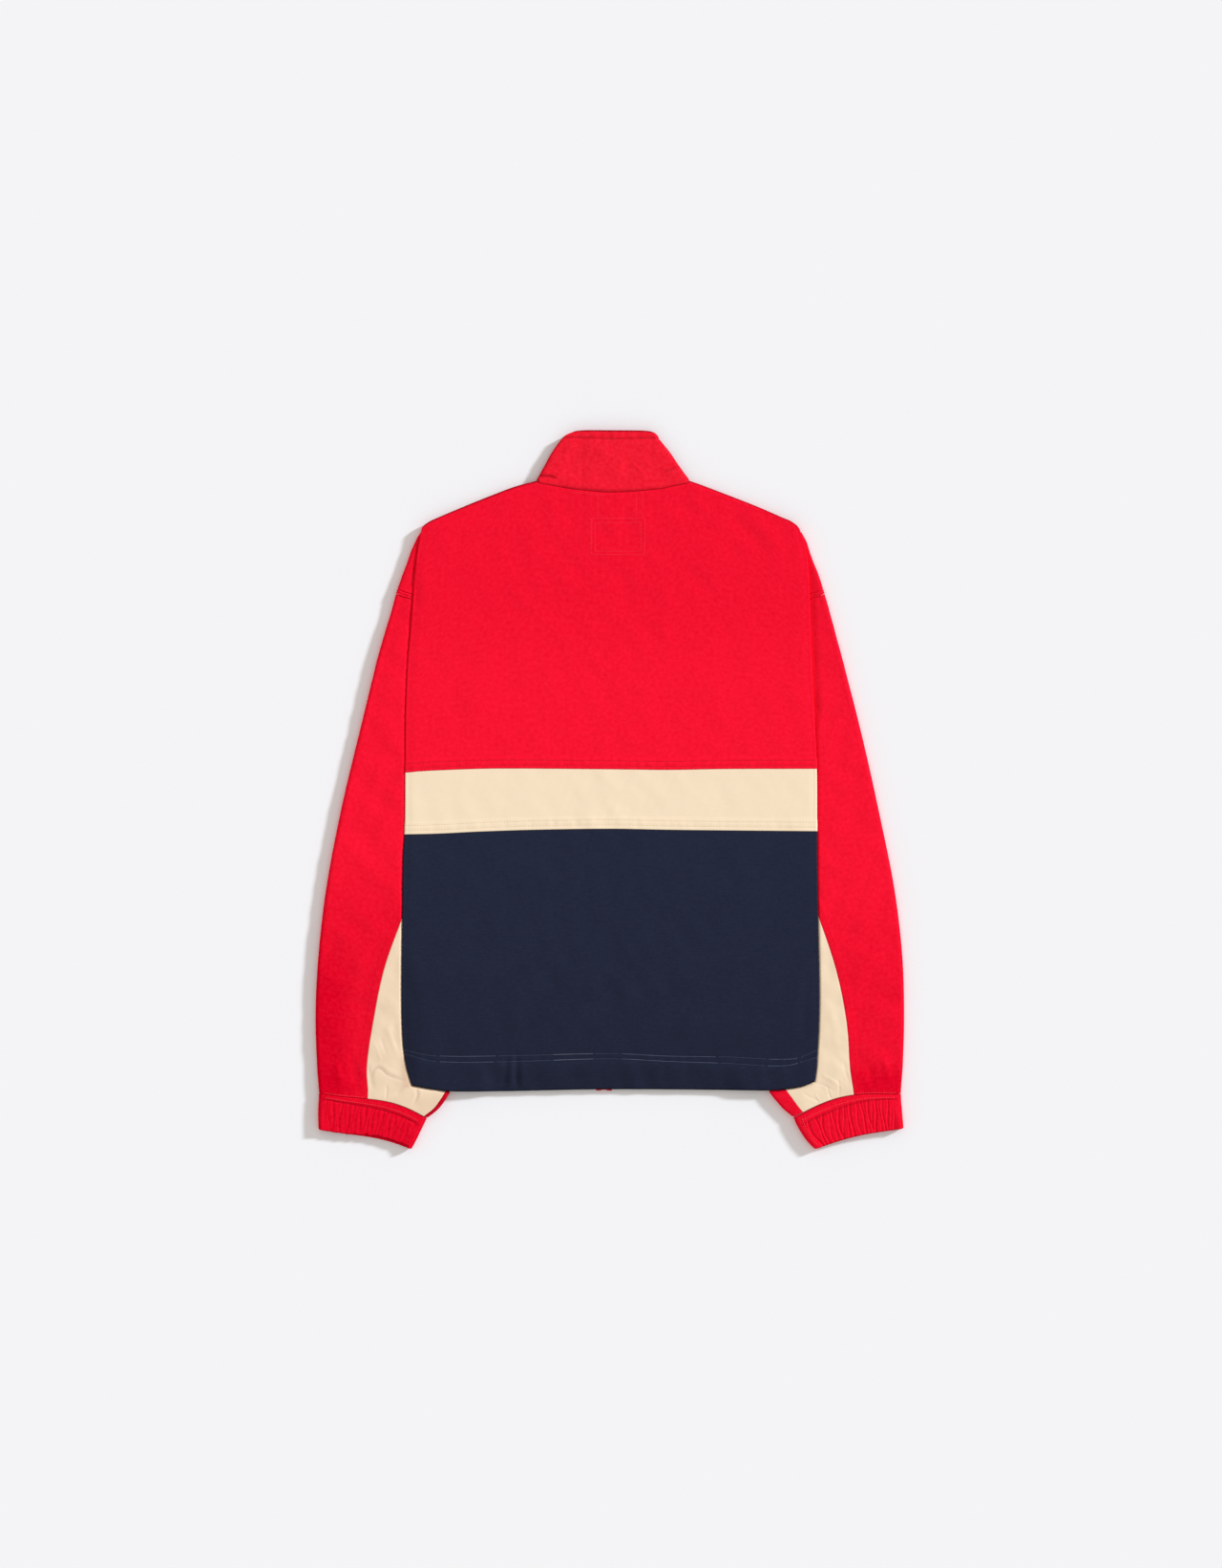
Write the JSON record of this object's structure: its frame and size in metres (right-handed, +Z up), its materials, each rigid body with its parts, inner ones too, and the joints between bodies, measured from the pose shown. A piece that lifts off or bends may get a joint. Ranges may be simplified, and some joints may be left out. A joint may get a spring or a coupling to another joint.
{
  "type": "windbreaker",
  "caption": "Zipped windbreaker with a stand collar, colour-blocked panels and elasticated cuffs, laid flat with its back up.",
  "frame": {"origin": "centre of the bounding box, on the surface that the garment lies on", "axes": "seen from above with the collar at the top: +X to the right, +Y towards the collar, +Z up, out of the back of the garment"},
  "size_m": [0.651, 0.7945, 0.0113],
  "materials": {
    "red_cloth": "matt woven polyester or cotton blend, red",
    "cream_cloth": "the same cloth in cream",
    "navy_cloth": "the same cloth in navy",
    "zip_tape_cloth": "woven zip tape, red",
    "zip_plastic": "moulded zip teeth and box, red",
    "zip_metal": "dark plated zip slider and pull"
  },
  "bodies": {
    "garment": {"back_yoke": "red_cloth", "back_band": "cream_cloth", "back_lower": "navy_cloth", "front_yoke_left": "red_cloth", "front_yoke_right": "red_cloth", "front_band_left": "cream_cloth", "front_band_right": "cream_cloth", "front_lower_left": "navy_cloth", "front_lower_right": "navy_cloth", "collar": "red_cloth", "shoulder_drop_left": "red_cloth", "shoulder_drop_right": "red_cloth", "sleeve_main_left": "red_cloth", "sleeve_main_right": "red_cloth", "sleeve_panel_left": "cream_cloth", "sleeve_panel_right": "cream_cloth", "cuff_left": "red_cloth", "cuff_right": "red_cloth", "zip_tape_left": "zip_tape_cloth", "zip_tape_right": "zip_tape_cloth", "zip_teeth": "zip_plastic", "zip_box": "zip_plastic", "zip_slider": "zip_metal"},
    "pull": {"zip_pull": "zip_metal"}
  },
  "joints": [
    {"name": "pull_swing", "type": "hinge", "parent": "garment", "child": "pull", "pos_m": [-0.0066, 0.322, 0.0021], "axis": [1, 0, 0], "range_deg": [0, 170]}
  ]
}
